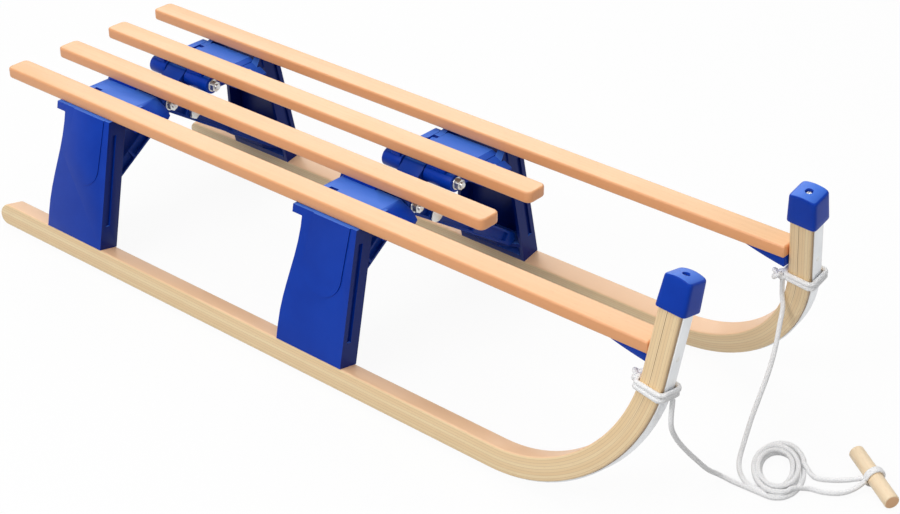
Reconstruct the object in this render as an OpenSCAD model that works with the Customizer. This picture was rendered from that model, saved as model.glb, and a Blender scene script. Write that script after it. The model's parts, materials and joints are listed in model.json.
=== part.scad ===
// Folding wooden sled. Two runner frames lean inwards and carry the outer slats. Hinged arms carry the
// inner slats, and two crossed braces under each pair of arms join the frames like a pair of scissors.
// X runs from the rear to the front, Y across the sled and Z up from the ground. The near side is -Y.

/* [Seat slats] */
// Length of the two inner slats
inner_slat_l = 759; // [700:1:820]
// Width of a slat
slat_w = 33; // [29:1:36]
// Thickness of a slat
slat_t = 15; // [12:1:18]
// Distance between the middles of two slats
slat_pitch = 86; // [82:1:90]
// Height of the seat above the ground
seat_h = 221; // [210:1:235]
// Radius of a slat's corners seen from above
slat_corner_r = 8; // [3:1:12]

/* [Runners] */
// Distance between the inner lower edges of the two runners
track_w = 330; // [322:1:345]
// Angle by which the side frames lean inwards
lean = 12; // [10:0.5:13]
// Width of a runner
runner_w = 28; // [25:1:31]
// Thickness of a runner without its steel band
runner_t = 28; // [25:1:31]
// Distance of the runners' rear ends from the slats' rear ends
runner_setback = 5; // [0:1:20]
// Length from the slats' rear ends to the start of the bend
straight_l = 881; // [850:1:930]
// Outer radius of the bend, on the steel band
bend_r = 203; // [195:1:215]
// Angle that the bend turns through
bend_a = 86; // [82:1:88]
// Length of the straight horn above the bend
horn_l = 101; // [90:1:120]
// Bevel along the edges of a runner
runner_bevel = 2.5; // [1:0.5:4]
// Thickness of the steel band
band_t = 2; // [1:0.5:3]
// Width of the steel band
band_w = 18; // [14:1:20]

/* [Horn caps] */
// Length of horn that a cap covers
cap_grip = 27; // [20:1:40]
// Height of a cap's sides
cap_h = 37; // [32:1:45]
// Rise of the cap's rounded top above its sides
cap_rise = 5; // [3:0.5:8]
// Distance that the foot of a cap stands out from the horn, in front and behind
cap_over = 4; // [3:0.5:6]
// Distance that a cap stands out from the horn at the sides
cap_side = 2.5; // [2:0.5:4]
// Diameter of the screw recess in a cap's top
cap_hole_d = 8.5; // [7:0.5:10]

/* [Legs] */
// Place of the rear legs' rear edges
rear_leg_x = 105; // [90:1:120]
// Place of the front legs' rear edges
front_leg_x = 540; // [500:1:580]
// Length of a leg along the runner
leg_l = 107; // [107:1:110]
// Depth of a leg across the runner
leg_w = 28; // [26:1:30]
// Wall thickness of a leg
leg_wall = 5; // [4:0.5:6]
// Thickness of a leg's foot plate and roof
leg_plate = 8; // [6:1:10]
// Distance by which a leg's rear edge moves forward towards its top
leg_sweep = 20; // [12:1:24]
// Height of the lug block at the rear of a leg's top
ear_h = 16; // [14:1:20]
// Thickness of the ledge that a brace's foot rests on
ledge_t = 5; // [4:1:8]
// Thickness of the raised panel on a leg's outer face
panel_t = 1.2; // [0.8:0.2:2]
// Height of the panel's rounded lower end, measured up the leg
panel_low = 108; // [100:1:120]
// Distance of the panel from a leg's rear edge
panel_rear = 29; // [24:1:34]
// Distance of the panel's lower end from a leg's front edge
panel_front = 14; // [10:1:18]
// Width of the slot down a leg's front face
slot_w = 7; // [5:0.5:9]
// Depth of that slot
slot_depth = 3; // [1:0.5:3]

/* [Arms and pins] */
// Height of the seat blocks on the arms
block_h = 5; // [4:0.5:6]
// Outer radius of the arms' and braces' knuckles
knuckle_r = 12; // [11:0.5:13]
// Thickness of an arm's plate
plate_t = 19; // [17:1:20]
// Radius of the hinge pins and bolts
pin_r = 4; // [3:0.5:5]
// Radial clearance of a pin in its bore
pin_gap = 0.05; // [0.02:0.01:0.1]
// Distance of an arm's outer pin from the outer slat
pin_inset = 16.5; // [15:0.5:18]
// Distance of an arm's inner bolt from the middle of its slat
bolt_inset = 5; // [3:0.5:8]

/* [Crossed braces] */
// Drop of the centre bolt below the arms' pins
cross_drop = 26; // [24:1:30]
// Radius of the centre bolt
centre_r = 5; // [4:0.5:6]
// Radius of the centre bolt's round head
centre_head_r = 10.5; // [9:0.5:12]
// Half the depth of a brace
brace_half = 11; // [9:0.5:11]
// Radius of a brace's foot
foot_r = 9; // [8:0.5:10]
// Depth of the pockets along the faces of a brace
pocket_depth = 5; // [2:0.5:6]
// Thickness of the rims and ribs beside the pockets
rim_t = 3.5; // [3:0.5:5]
// Distance of a brace's foot from the runner's inner lower edge
foot_inset = 21.6; // [19:0.1:24]

/* [Tow rope] */
// Radius of the rope
rope_r = 2.9; // [2.5:0.1:3.5]
// Length of the wooden handle
handle_l = 103; // [90:1:120]
// Radius of the wooden handle
handle_r = 9; // [8:0.5:11]

/* [Hidden] */
$fn = 64;
FAR = 1;
NEAR = -1;
// Clearance between faces that meet on one body, and beside faces that move
seat_gap = 0.3;
side_gap = 2;

// The runner's section, and the drop that puts the leaning band's inner edge on the ground
runner_all = band_t + runner_t;
band_inset = (runner_w - band_w) / 2;
drop = band_inset * sin(lean);

// The horn, in the side frame's own plane
horn_x0 = straight_l + bend_r * sin(bend_a);
horn_v0 = bend_r * (1 - cos(bend_a));
cap_s0 = horn_l - cap_grip;
sled_l = horn_x0 + cap_s0 * cos(bend_a) + cap_over * sin(bend_a);
mid_x = sled_l / 2;
function horn_rear_x(v) = horn_x0 + (v - horn_v0) / tan(bend_a) - runner_all / sin(bend_a);

// Heights
slat_under = seat_h - slat_t;
plate_top = slat_under - block_h;
pin_z = plate_top - knuckle_r;
centre_z = pin_z - cross_drop;

// Places across the sled
inner_y = slat_pitch / 2;
outer_y = slat_pitch * 1.5;
bolt_y = inner_y - bolt_inset;
pin_y = outer_y - slat_w / 2 - pin_inset;
foot_y = track_w / 2 - foot_inset;
foot_z = centre_z - foot_y * cross_drop / bolt_y;
function frame_y(z) = track_w / 2 - (z + drop) * tan(lean);

// Places along a leg, measured from its rear edge. The first number of a pair is the rear end.
// The near brace turns behind split_x and the far brace in front of it.
split_x = leg_l / 2 - 1.5;
brace_end = leg_l - 11;
rear_lug = [4, 13];
front_lug = [leg_l - 12, leg_l - 2];
lug_r = 10;
near_brace = [rear_lug[1] + 3, split_x - side_gap];
far_brace = [split_x + side_gap, brace_end];
arm_ends = [-7, leg_l + 11];
arm_bevel_x = leg_l - 20;
near_barrels = [[-17, split_x]];
far_barrels = [[-17, rear_lug[1]], [split_x, brace_end]];
near_knuckle = [split_x + 1, front_lug[0] - side_gap];
far_knuckle = [rear_lug[1] + 2 * side_gap, split_x - 1];

// Placing. Everything on a side is drawn on the far side and mirrored to the near one.
module on_side(side) {
    if (side == NEAR) mirror([0, 1, 0]) children();
    else children();
}

// A piece drawn with X forward, Y up the leaning side frame and Z outwards from its inner face
module in_frame() {
    mirror([0, 1, 0]) translate([-mid_x, -track_w / 2, -drop])
        rotate([-lean, 0, 0]) rotate([90, 0, 0]) children();
}

// The same, with X turned along the bend or the horn at distance s past it
module on_bend(angle, s = 0) {
    translate([straight_l, bend_r, 0]) rotate([0, 0, angle]) translate([s, -bend_r, 0]) children();
}

// A section drawn in Y and Z, run forward from x for a length
module along_x(x, length) {
    translate([x - mid_x, 0, 0]) rotate([90, 0, 90]) linear_extrude(length) children();
}

module rod_x(x, length, radius, y, z, sides = $fn) {
    translate([x - mid_x, y, z]) rotate([0, 90, 0]) cylinder(h = length, r = radius, $fn = sides);
}

// Sections
module bevelled(a0, a1, b0, b1, c) {
    polygon([[a0 + c, b0], [a1 - c, b0], [a1, b0 + c], [a1, b1 - c],
             [a1 - c, b1], [a0 + c, b1], [a0, b1 - c], [a0, b0 + c]]);
}

module rounded_bar(l, w, r_rear, r_front) {
    translate([r_rear, -w / 2]) square([l - r_rear - r_front, w]);
    for (side = [-1, 1]) {
        translate([r_rear, side * (w / 2 - r_rear)]) circle(r_rear);
        translate([l - r_front, side * (w / 2 - r_front)]) circle(r_front);
    }
    translate([0, r_rear - w / 2]) square([l / 2, w - 2 * r_rear]);
    translate([l / 2, r_front - w / 2]) square([l / 2, w - 2 * r_front]);
}

module round_ended(l, w) {
    square([l - w, w], center = true);
    for (side = [-1, 1]) translate([side * (l - w) / 2, 0]) circle(w / 2);
}

// Runners
module bar(l, v0, v1, o0, o1, c) {
    rotate([90, 0, 90]) linear_extrude(l) bevelled(v0, v1, o0, o1, c);
}

// The horn starts a little way inside the bend and is a hair thinner, so that the two join cleanly
module bent_bar(x0, v0, v1, o0, o1, c, s_end) {
    hair = 0.02;
    inside = 1;
    translate([x0, 0, 0]) bar(straight_l - x0, v0, v1, o0, o1, c);
    translate([straight_l, bend_r, 0]) rotate([0, 0, -90])
        rotate_extrude(angle = bend_a, $fn = 96) bevelled(bend_r - v1, bend_r - v0, o0, o1, c);
    on_bend(bend_a, -inside) bar(s_end + inside, v0 + hair, v1 - hair, o0 + hair, o1 - hair, c);
}

module runner(side) {
    end_r = runner_t / 2;
    color("burlywood") on_side(side) in_frame() {
        bent_bar(runner_setback + end_r, band_t, runner_all, 0, runner_w, runner_bevel, horn_l);
        translate([runner_setback + end_r, band_t + end_r, 0]) rotate([0, 0, 90])
            rotate_extrude(angle = 180) intersection() {
                bevelled(-end_r, end_r, 0, runner_w, runner_bevel);
                square([end_r, runner_w]);
            }
    }
}

module steel_band(side) {
    color("silver") on_side(side) in_frame()
        bent_bar(runner_setback + runner_t / 2, 0, band_t, band_inset, band_inset + band_w,
                 band_t / 4, cap_s0);
}

// Horn caps
// Outline of a tapering cap with a rounded top: s runs up the horn
function cap_outline(mid, half_foot, half_top) =
    let (r = (half_top * half_top + cap_rise * cap_rise) / (2 * cap_rise),
         turn = asin(half_top / r),
         s_top = cap_s0 + cap_h + cap_rise)
    concat([[cap_s0, mid - half_foot]],
           [for (i = [-4:4]) [s_top - r + r * cos(turn * i / 4), mid + r * sin(turn * i / 4)]],
           [[cap_s0, mid + half_foot]]);

module cap_screw_place() {
    on_bend(bend_a, cap_s0 + cap_h + cap_rise) translate([0, runner_all / 2, runner_w / 2])
        rotate([0, -90, 0]) children();
}

module cap(side) {
    half_v = runner_all / 2;
    half_o = runner_w / 2;
    depth = runner_all + 2 * cap_over;
    color("mediumblue") on_side(side) in_frame() difference() {
        on_bend(bend_a) intersection() {
            linear_extrude(4 * half_o, center = true)
                polygon(cap_outline(half_v, half_v + cap_over, half_v - 1));
            translate([0, depth, 0]) rotate([90, 0, 0]) linear_extrude(2 * depth)
                polygon(cap_outline(half_o, half_o + cap_side, half_o));
            translate([0, -cap_over, -cap_side])
                cube([cap_s0 + cap_h + cap_rise, depth, runner_w + 2 * cap_side]);
        }
        on_bend(bend_a) bar(horn_l, band_t, runner_all, 0, runner_w, runner_bevel);
        cap_screw_place() translate([0, 0, -1]) cylinder(h = 10, d = cap_hole_d);
    }
}

module cap_screw(side) {
    head_h = 3.5;
    color("silver") on_side(side) in_frame() cap_screw_place()
        translate([0, 0, 9 - head_h]) difference() {
            cylinder(h = head_h, d = cap_hole_d - 1);
            translate([0, 0, -1]) cylinder(h = 2.5, d = 4, $fn = 6);
        }
}

// Slats
function horn_face_x(z) = horn_rear_x((z + drop - runner_w * sin(lean)) / cos(lean)) - seat_gap;

module slat(y, l, r_front) {
    color("navajowhite") translate([-mid_x, y, slat_under])
        linear_extrude(slat_t) rounded_bar(l, slat_w, slat_corner_r, r_front);
}

module outer_slat(side) {
    on_side(side) slat(outer_y, horn_face_x(slat_under), 1);
}

module inner_slat(side) {
    on_side(side) slat(inner_y, inner_slat_l, slat_corner_r);
}

// A curved wedge under the outer slat, against the horn
module slat_bracket(side) {
    wedge_l = 58;
    wedge_h = 13;
    x_front = horn_face_x(slat_under - wedge_h);
    color("mediumblue") on_side(side)
        translate([-mid_x, outer_y + slat_w / 2 - 4, 0]) rotate([90, 0, 0]) linear_extrude(slat_w - 8)
            polygon(concat([[x_front, slat_under]],
                [for (t = [0:0.2:1]) [x_front - wedge_l * t, slat_under - wedge_h * (1 - t) * (1 + 0.3 * t)]]));
}

// Legs
leg_top_v = (slat_under + drop) / cos(lean) + leg_plate;
ear_v = (slat_under + drop) / cos(lean) - ear_h;
sweep_v0 = runner_all + 20;
sweep_v1 = ear_v - 5;
function leg_rear(v, inset) =
    let (t = min(1, max(0, (v - sweep_v0) / (sweep_v1 - sweep_v0))))
    inset + leg_sweep * (3 * t * t - 2 * t * t * t);
function leg_outline(inset, v0, v1) =
    concat([for (i = [0:10]) let (v = v0 + (v1 - v0) * i / 10) [leg_rear(v, inset), v]],
           [[leg_l - inset, v1], [leg_l - inset, v0]]);

// A lug that carries an arm's outer pin, joined to the roof of its leg
module lug(x, ends) {
    along_x(x + ends[0], ends[1] - ends[0]) {
        translate([pin_y, pin_z]) circle(lug_r);
        polygon([[pin_y, pin_z - lug_r], [pin_y + lug_r, pin_z - lug_r], [frame_y(pin_z) + 4, pin_z],
                 [frame_y(pin_z) + 4, slat_under], [outer_y - slat_w / 2, slat_under],
                 [pin_y + lug_r / 2, pin_z + lug_r * sin(60)]]);
    }
}

// The raised panel, rounded at its lower end and wider at the top, where it leans with the leg
module leg_panel() {
    r = (leg_l - panel_rear - panel_front) / 2;
    v0 = panel_low + r;
    linear_extrude(panel_t + 1) translate([panel_rear + r, 0]) {
        translate([0, v0]) circle(r);
        polygon([[-r, v0], [r, v0], [r + 0.4 * panel_front, leg_top_v], [0.6 * leg_sweep - r, leg_top_v]]);
    }
}

// The slot down a leg's front face, from above the foot plate to below the roof
module leg_slot() {
    v0 = runner_all + 4 * leg_plate;
    translate([leg_l - slot_depth, v0, (leg_w - slot_w) / 2 + leg_wall - 1])
        cube([slot_depth + 1, leg_top_v - 4 * leg_plate - v0, slot_w]);
}

module leg(side, x) {
    ledge_y = foot_y - foot_r / 2;
    ledge_z = foot_z - foot_r - seat_gap - ledge_t;
    roof_v = (slat_under + drop) / cos(lean) - leg_plate;
    color("mediumblue") on_side(side) difference() {
        union() {
            difference() {
                in_frame() translate([x, 0, 0]) {
                    linear_extrude(leg_w) polygon(leg_outline(0, runner_all, leg_top_v));
                    translate([0, 0, leg_w - 1]) leg_panel();
                    translate([rear_lug[0], ear_v, 0]) cube([leg_sweep, ear_h + leg_plate, leg_w]);
                }
                in_frame() translate([x, 0, 0]) {
                    translate([0, 0, -1]) linear_extrude(leg_w - leg_wall)
                        polygon(leg_outline(leg_wall, runner_all + leg_plate, roof_v));
                    leg_slot();
                }
            }
            lug(x, rear_lug);
            lug(x, front_lug);
            translate([x + leg_wall / 2 - mid_x, ledge_y, ledge_z])
                cube([leg_l - leg_wall, frame_y(ledge_z) + leg_w - leg_wall + 1 - ledge_y, ledge_t]);
        }
        translate([x - leg_l - mid_x, 0, slat_under]) cube([3 * leg_l, track_w, seat_h]);
        rod_x(x - 1, leg_l + 2, pin_r + pin_gap, pin_y, pin_z);
    }
}

module leg_pin(side, x) {
    color("silver") on_side(side) {
        rod_x(x + rear_lug[0] - 2, front_lug[1] - rear_lug[0] + 4, pin_r, pin_y, pin_z);
        rod_x(x + rear_lug[0] - 2, 2, pin_r + 2, pin_y, pin_z);
        rod_x(x + front_lug[1], 2, pin_r + 2, pin_y, pin_z);
    }
}

// Arms
// The arm's plate in section: thick in the middle, a thin lip over the pin, and sloped where a brace folds
module arm_section() {
    lip_y = pin_y - 5;
    thick_y = pin_y - knuckle_r - 1;
    edge_y = bolt_y + knuckle_r + 3;
    z1 = plate_top;
    z0 = plate_top - plate_t;
    polygon([[lip_y, z1], [lip_y, z1 - 6], [thick_y, z1 - 6], [thick_y, z0],
             [edge_y + 8, z0], [edge_y, pin_z + 2], [edge_y, z1]]);
}

// The same plate from the side, with its long front bevel
module arm_side(x) {
    translate([-mid_x, pin_y, 0]) rotate([90, 0, 0]) linear_extrude(pin_y - bolt_y)
        polygon([[x + arm_ends[0], plate_top - plate_t], [x + arm_ends[0], plate_top],
                 [x + arm_bevel_x, plate_top], [x + arm_ends[1], plate_top - plate_t * 0.8],
                 [x + arm_ends[1], plate_top - plate_t]]);
}

// Hollows under the plate, between its ribs
module arm_pockets(x) {
    wall = 4;
    count = 3;
    y0 = bolt_y + knuckle_r + 12 + wall;
    y1 = pin_y - knuckle_r - 1 - wall;
    x0 = arm_ends[0] + wall;
    step = (arm_bevel_x - x0) / count;
    for (i = [0:count - 1]) translate([x + x0 + i * step - mid_x, y0, plate_top - plate_t - 1])
        cube([step - wall, y1 - y0, plate_t - wall + 1]);
}

module arm(side, x, barrels, knuckle) {
    bridge = bolt_y + knuckle_r + 12;
    color("royalblue") on_side(side) difference() {
        union() {
            intersection() {
                union() {
                    along_x(x + arm_ends[0], arm_ends[1] - arm_ends[0]) arm_section();
                    for (b = barrels) along_x(x + b[0], b[1] - b[0])
                        translate([bolt_y, plate_top - plate_t]) square([bridge - bolt_y, plate_t]);
                }
                arm_side(x);
            }
            for (b = barrels) {
                rod_x(x + b[0], b[1] - b[0], knuckle_r, bolt_y, pin_z);
                block_x0 = max(b[0], arm_ends[0]) + 3;
                translate([x + block_x0 - mid_x, bolt_y - 8, plate_top - 1])
                    cube([min(b[1], arm_bevel_x) - 3 - block_x0, slat_w - 7, block_h + 1]);
            }
            rod_x(x + knuckle[0], knuckle[1] - knuckle[0], knuckle_r - 1, pin_y, pin_z);
            along_x(x + knuckle[0], knuckle[1] - knuckle[0])
                translate([pin_y - knuckle_r - 3, pin_z - 7]) square([knuckle_r + 3, 7 + knuckle_r - 1]);
        }
        for (l = [rear_lug, front_lug])
            translate([x + l[0] - side_gap - mid_x, pin_y - knuckle_r - 1, pin_z - knuckle_r])
                cube([l[1] - l[0] + 2 * side_gap, knuckle_r, 2 * knuckle_r + 1]);
        arm_pockets(x);
        rod_x(x - leg_l, 3 * leg_l, pin_r + pin_gap, pin_y, pin_z);
        rod_x(x - leg_l, 3 * leg_l, pin_r + pin_gap, bolt_y, pin_z);
    }
}

// The bolt of an arm and a brace, with its head at the rear and a washer and nut in front
module arm_bolt(side, x) {
    rear = far_barrels[0][0];
    front = far_brace[1] + seat_gap;
    color("silver") on_side(side) {
        rod_x(x + rear - 4, 4, 7, bolt_y, pin_z, 6);
        rod_x(x + rear - 1, front - rear + 12, pin_r, bolt_y, pin_z);
        rod_x(x + front, 1.5, 8.5, bolt_y, pin_z);
        rod_x(x + front + 1.5, 6.5, 7.5, bolt_y, pin_z, 6);
    }
}

// Braces
// A brace drawn from its bolt on the near arm down to its foot at the far leg
module brace(x, ends) {
    l = norm([bolt_y + foot_y, pin_z - foot_z]);
    cross_l = norm([bolt_y, cross_drop]);
    half = brace_half - rim_t;
    boss_r = centre_head_r + 1;
    rib = (cross_l + boss_r + l - foot_r) / 2;
    tilt = atan2(foot_z - pin_z, bolt_y + foot_y);
    boss_l = ends == near_brace ? far_brace[0] - near_brace[1] - seat_gap : 0;
    difference() {
        union() {
            along_x(x + ends[0], ends[1] - ends[0]) translate([-bolt_y, pin_z]) rotate(tilt) {
                circle(knuckle_r);
                polygon([[0, -brace_half], [l, -foot_r], [l, foot_r], [0, brace_half]]);
                translate([l, 0]) circle(foot_r);
            }
            rod_x(x + ends[1] - 1, boss_l + 1, knuckle_r - 3, 0, centre_z);
        }
        rod_x(x, leg_l, pin_r + pin_gap, -bolt_y, pin_z);
        rod_x(x, leg_l, centre_r + pin_gap, 0, centre_z);
        for (face = [ends[0] - 1, ends[1] - pocket_depth])
            along_x(x + face, pocket_depth + 1) translate([-bolt_y, pin_z]) rotate(tilt)
                for (p = [[knuckle_r + 2, cross_l - boss_r], [cross_l + boss_r, rib - rim_t / 2],
                          [rib + rim_t / 2, l - foot_r]])
                    polygon([[p[0], -half], [p[1], 2 * p[1] / l - half],
                             [p[1], half - 2 * p[1] / l], [p[0], half]]);
    }
}

module brace_to_far(x) {
    color("darkblue") brace(x, far_brace);
}

module brace_to_near(x) {
    color("darkblue") mirror([0, 1, 0]) brace(x, near_brace);
}

// The centre bolt rides on the brace that it is seen on, its round head at one end and its nut at the other
module centre_bolt(x, head_in_front) {
    nut_l = 6;
    head_l = 3;
    rear = near_brace[0] - seat_gap;
    front = far_brace[1] + seat_gap;
    color("silver") {
        rod_x(x + rear - 1, front - rear + 2, centre_r, 0, centre_z);
        rod_x(x + (head_in_front ? front : rear - head_l), head_l, centre_head_r, 0, centre_z);
        rod_x(x + (head_in_front ? rear - nut_l : front), nut_l, centre_r + 3.5, 0, centre_z, 6);
    }
}

// Tow rope
// Turns of rope round the bend's upper end, with the knot behind
module rope_wrap(side, angle) {
    over = 2 * rope_r;
    color("white") on_side(side) in_frame() on_bend(angle) {
        rotate([90, 0, 90]) linear_extrude(2 * over) difference() {
            bevelled(-over - seat_gap, runner_all + over + seat_gap, -over - seat_gap,
                     runner_w + over + seat_gap, over);
            bevelled(-seat_gap, runner_all + seat_gap, -seat_gap, runner_w + seat_gap, 1);
        }
        translate([over, runner_all + over + 1, runner_w / 2]) sphere(r = over + 1.5, $fn = 32);
    }
}

function unit(v) = v / norm(v);
// A smooth curve through the points, with n steps between two of them
function curve(p, n) = concat([for (i = [0:len(p) - 2], k = [0:n - 1])
    let (a = p[max(i - 1, 0)], b = p[i], c = p[i + 1], d = p[min(i + 2, len(p) - 1)], t = k / n)
    0.5 * (2 * b + (c - a) * t + (2 * a - 5 * b + 4 * c - d) * t * t + (3 * b - a - 3 * c + d) * t * t * t)],
    [p[len(p) - 1]]);
function tangent(p, i) = unit(p[min(i + 1, len(p) - 1)] - p[max(i - 1, 0)]);
function normals(p, i, last) = i == len(p) ? [] :
    let (t = tangent(p, i), n = unit(last - t * (last * t))) concat([n], normals(p, i + 1, n));

// A rope swept along a route, as rings of eight points
module rope(route, steps) {
    p = [for (q = curve(route, steps)) q - [mid_x, 0, 0]];
    n = normals(p, 0, [0.35, 0.1, 0.93]);
    rings = [for (i = [0:len(p) - 1]) let (b = cross(tangent(p, i), n[i]))
        for (k = [0:7]) p[i] + rope_r * (n[i] * cos(45 * k) + b * sin(45 * k))];
    last = 8 * (len(p) - 1);
    color("white") polyhedron(rings, concat(
        [[for (k = [0:7]) k], [for (k = [7:-1:0]) last + k]],
        [for (i = [0:len(p) - 2], k = [0:7]) let (a = 8 * i + k, b = 8 * i + (k + 1) % 8) [a, a + 8, b]],
        [for (i = [0:len(p) - 2], k = [0:7]) let (a = 8 * i + k, b = 8 * i + (k + 1) % 8) [a + 8, b + 8, b]]));
}

// The rope's route, counted from the slats' rear ends
near_route = [[1086, -150, 157], [1087, -143, 133], [1086, -131, 109], [1085, -110, 82], [1084, -85, 54],
              [1083, -59, 26], [1085, -38, 8], [1100, -33, 3], [1122, -32, 3], [1140, -34, 3]];
far_route = [[1046, 131, 150], [1051, 127, 135], [1056, 115, 119], [1062, 99, 96], [1067, 80, 75],
             [1072, 57, 57], [1076, 37, 40], [1080, 19, 20], [1084, 5, 6], [1093, -9, 3], [1106, -21, 3]];
upper_route = [[1152, 28, 6], [1166, 30, 5], [1182, 35, 6], [1197, 45, 8], [1209, 59, 10]];
lower_route = [[1157, 3, 6], [1172, 9, 4], [1188, 14, 4], [1203, 23, 5], [1212, 38, 7], [1214, 56, 10]];

coil_mid = [1127, 16, 0];
coil_turn = -60;
coil_l = 108;
coil_w = 68;
coil_band = 20;
coil_h = 12;
handle_mid = [1218, 68];
module rope_coil() {
    color("white") translate(coil_mid - [mid_x, 0, 0]) rotate([0, 0, coil_turn]) linear_extrude(coil_h)
        difference() {
            round_ended(coil_l, coil_w);
            round_ended(coil_l - 2 * coil_band, coil_w - 2 * coil_band);
        }
}

// The handle lies on the ground with its near end, and on the rope ring round its middle
ring_r = handle_r + 4;
handle_tilt = asin((ring_r - handle_r) / (handle_l / 2));
handle_turn = 147.5;
module at_handle() {
    translate([handle_mid[0] - mid_x, handle_mid[1], ring_r])
        rotate([0, 0, handle_turn]) rotate([0, -handle_tilt, 0]) children();
}

module rope_handle() {
    edge = 1.5;
    color("burlywood") at_handle() rotate([0, 90, 0]) rotate_extrude()
        polygon([[0, -handle_l / 2], [handle_r - edge, -handle_l / 2], [handle_r, edge - handle_l / 2],
                 [handle_r, handle_l / 2 - edge], [handle_r - edge, handle_l / 2], [0, handle_l / 2]]);
}

module handle_rope_ring() {
    color("white") at_handle() rotate([0, 90, 0]) rotate_extrude()
        translate([handle_r + 0.1, -2 * rope_r]) square([ring_r - handle_r - 0.1, 4 * rope_r]);
}

runner(NEAR);  // near_runner
steel_band(NEAR);  // near_steel_band
cap(NEAR);  // near_cap
cap_screw(NEAR);  // near_cap_screw
outer_slat(NEAR);  // near_outer_slat
slat_bracket(NEAR);  // near_slat_bracket
leg(NEAR, rear_leg_x);  // near_rear_leg
leg(NEAR, front_leg_x);  // near_front_leg
leg_pin(NEAR, rear_leg_x);  // near_rear_pin
leg_pin(NEAR, front_leg_x);  // near_front_pin
rope_wrap(NEAR, 79);  // near_rope_wrap
runner(FAR);  // far_runner
steel_band(FAR);  // far_steel_band
cap(FAR);  // far_cap
cap_screw(FAR);  // far_cap_screw
outer_slat(FAR);  // far_outer_slat
slat_bracket(FAR);  // far_slat_bracket
leg(FAR, rear_leg_x);  // far_rear_leg
leg(FAR, front_leg_x);  // far_front_leg
leg_pin(FAR, rear_leg_x);  // far_rear_pin
leg_pin(FAR, front_leg_x);  // far_front_pin
rope_wrap(FAR, 81.5);  // far_rope_wrap
inner_slat(NEAR);  // near_inner_slat
arm(NEAR, rear_leg_x, near_barrels, near_knuckle);  // near_rear_arm
arm(NEAR, front_leg_x, near_barrels, near_knuckle);  // near_front_arm
arm_bolt(NEAR, rear_leg_x);  // near_rear_bolt
arm_bolt(NEAR, front_leg_x);  // near_front_bolt
inner_slat(FAR);  // far_inner_slat
arm(FAR, rear_leg_x, far_barrels, far_knuckle);  // far_rear_arm
arm(FAR, front_leg_x, far_barrels, far_knuckle);  // far_front_arm
arm_bolt(FAR, rear_leg_x);  // far_rear_bolt
arm_bolt(FAR, front_leg_x);  // far_front_bolt
brace_to_far(rear_leg_x);  // rear_brace_to_far
brace_to_far(front_leg_x);  // front_brace_to_far
centre_bolt(rear_leg_x, false);  // rear_centre_bolt
centre_bolt(front_leg_x, true);  // front_centre_bolt
brace_to_near(rear_leg_x);  // rear_brace_to_near
brace_to_near(front_leg_x);  // front_brace_to_near
rope(near_route, 2);  // near_rope_strand
rope(far_route, 1);  // far_rope_strand
rope_coil();
rope(upper_route, 1);  // handle_rope_upper
rope(lower_route, 1);  // handle_rope_lower
handle_rope_ring();
rope_handle();
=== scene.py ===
# %% [markdown]
# # Folding wooden sled
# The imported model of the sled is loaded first. It gives every piece its place, in metres: X runs forward
# to the horns, Y across the sled to the far side and Z up from the ground. Everything after that is looks.

# %% Load the frame
import json
import math

import bmesh
import bpy
import numpy as np
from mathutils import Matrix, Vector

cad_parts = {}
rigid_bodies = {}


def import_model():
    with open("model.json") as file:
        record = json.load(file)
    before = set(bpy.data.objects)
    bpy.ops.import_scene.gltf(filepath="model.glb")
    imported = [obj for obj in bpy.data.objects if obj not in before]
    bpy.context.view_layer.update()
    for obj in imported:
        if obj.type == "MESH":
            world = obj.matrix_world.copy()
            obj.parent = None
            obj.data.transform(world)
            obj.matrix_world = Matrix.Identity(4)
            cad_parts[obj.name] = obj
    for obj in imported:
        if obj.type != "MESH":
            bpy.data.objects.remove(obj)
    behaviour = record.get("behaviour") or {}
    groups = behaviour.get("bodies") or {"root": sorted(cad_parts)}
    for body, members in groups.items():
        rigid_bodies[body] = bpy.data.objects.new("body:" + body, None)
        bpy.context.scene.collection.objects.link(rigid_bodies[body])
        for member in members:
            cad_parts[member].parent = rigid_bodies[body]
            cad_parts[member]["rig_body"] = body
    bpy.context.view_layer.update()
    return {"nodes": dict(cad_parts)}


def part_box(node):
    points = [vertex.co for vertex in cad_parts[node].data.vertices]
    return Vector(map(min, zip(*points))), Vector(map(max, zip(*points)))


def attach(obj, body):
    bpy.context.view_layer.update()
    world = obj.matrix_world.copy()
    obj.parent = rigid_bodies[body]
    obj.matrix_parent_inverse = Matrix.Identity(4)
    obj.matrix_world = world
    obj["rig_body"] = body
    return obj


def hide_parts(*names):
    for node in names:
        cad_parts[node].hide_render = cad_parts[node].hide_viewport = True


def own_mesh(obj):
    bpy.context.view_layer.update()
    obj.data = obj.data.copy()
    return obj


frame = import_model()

# %% [markdown]
# ## Camera
# The photograph was taken from in front and above, a little to the near side, with a long lens. The place
# and turn below put the slats, runners and horns where the photograph has them. A camera looks along its
# own -Z, so it is tipped up from straight down first and then turned round Z.

# %% Camera
camera_data = bpy.data.cameras.new("camera")
camera_data.lens = 76.8
camera_data.sensor_width = 36.0
camera_data.shift_x = -0.0036
camera_data.shift_y = 0.0039
camera = bpy.data.objects.new("camera", camera_data)
camera.location = (1.4487, -1.5246, 1.2857)
camera.rotation_mode = "XYZ"
from mathutils import Matrix
turn = (Matrix.Rotation(math.radians(41.14), 3, "Z") @ Matrix.Rotation(math.radians(90 - 30.22), 3, "X")
        @ Matrix.Rotation(math.radians(-0.405), 3, "Z"))
camera.rotation_euler = turn.to_euler("XYZ")
bpy.context.scene.collection.objects.link(camera)
bpy.context.scene.camera = camera
print("camera at", tuple(camera.location))

# %% [markdown]
# ## Sizes
# The shaped pieces below repeat the model's own sizes in millimetres. A side frame leans inwards, so its
# pieces are worked out in the frame's own plane: x forward, v up the plane and o outwards from its inner face.

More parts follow.
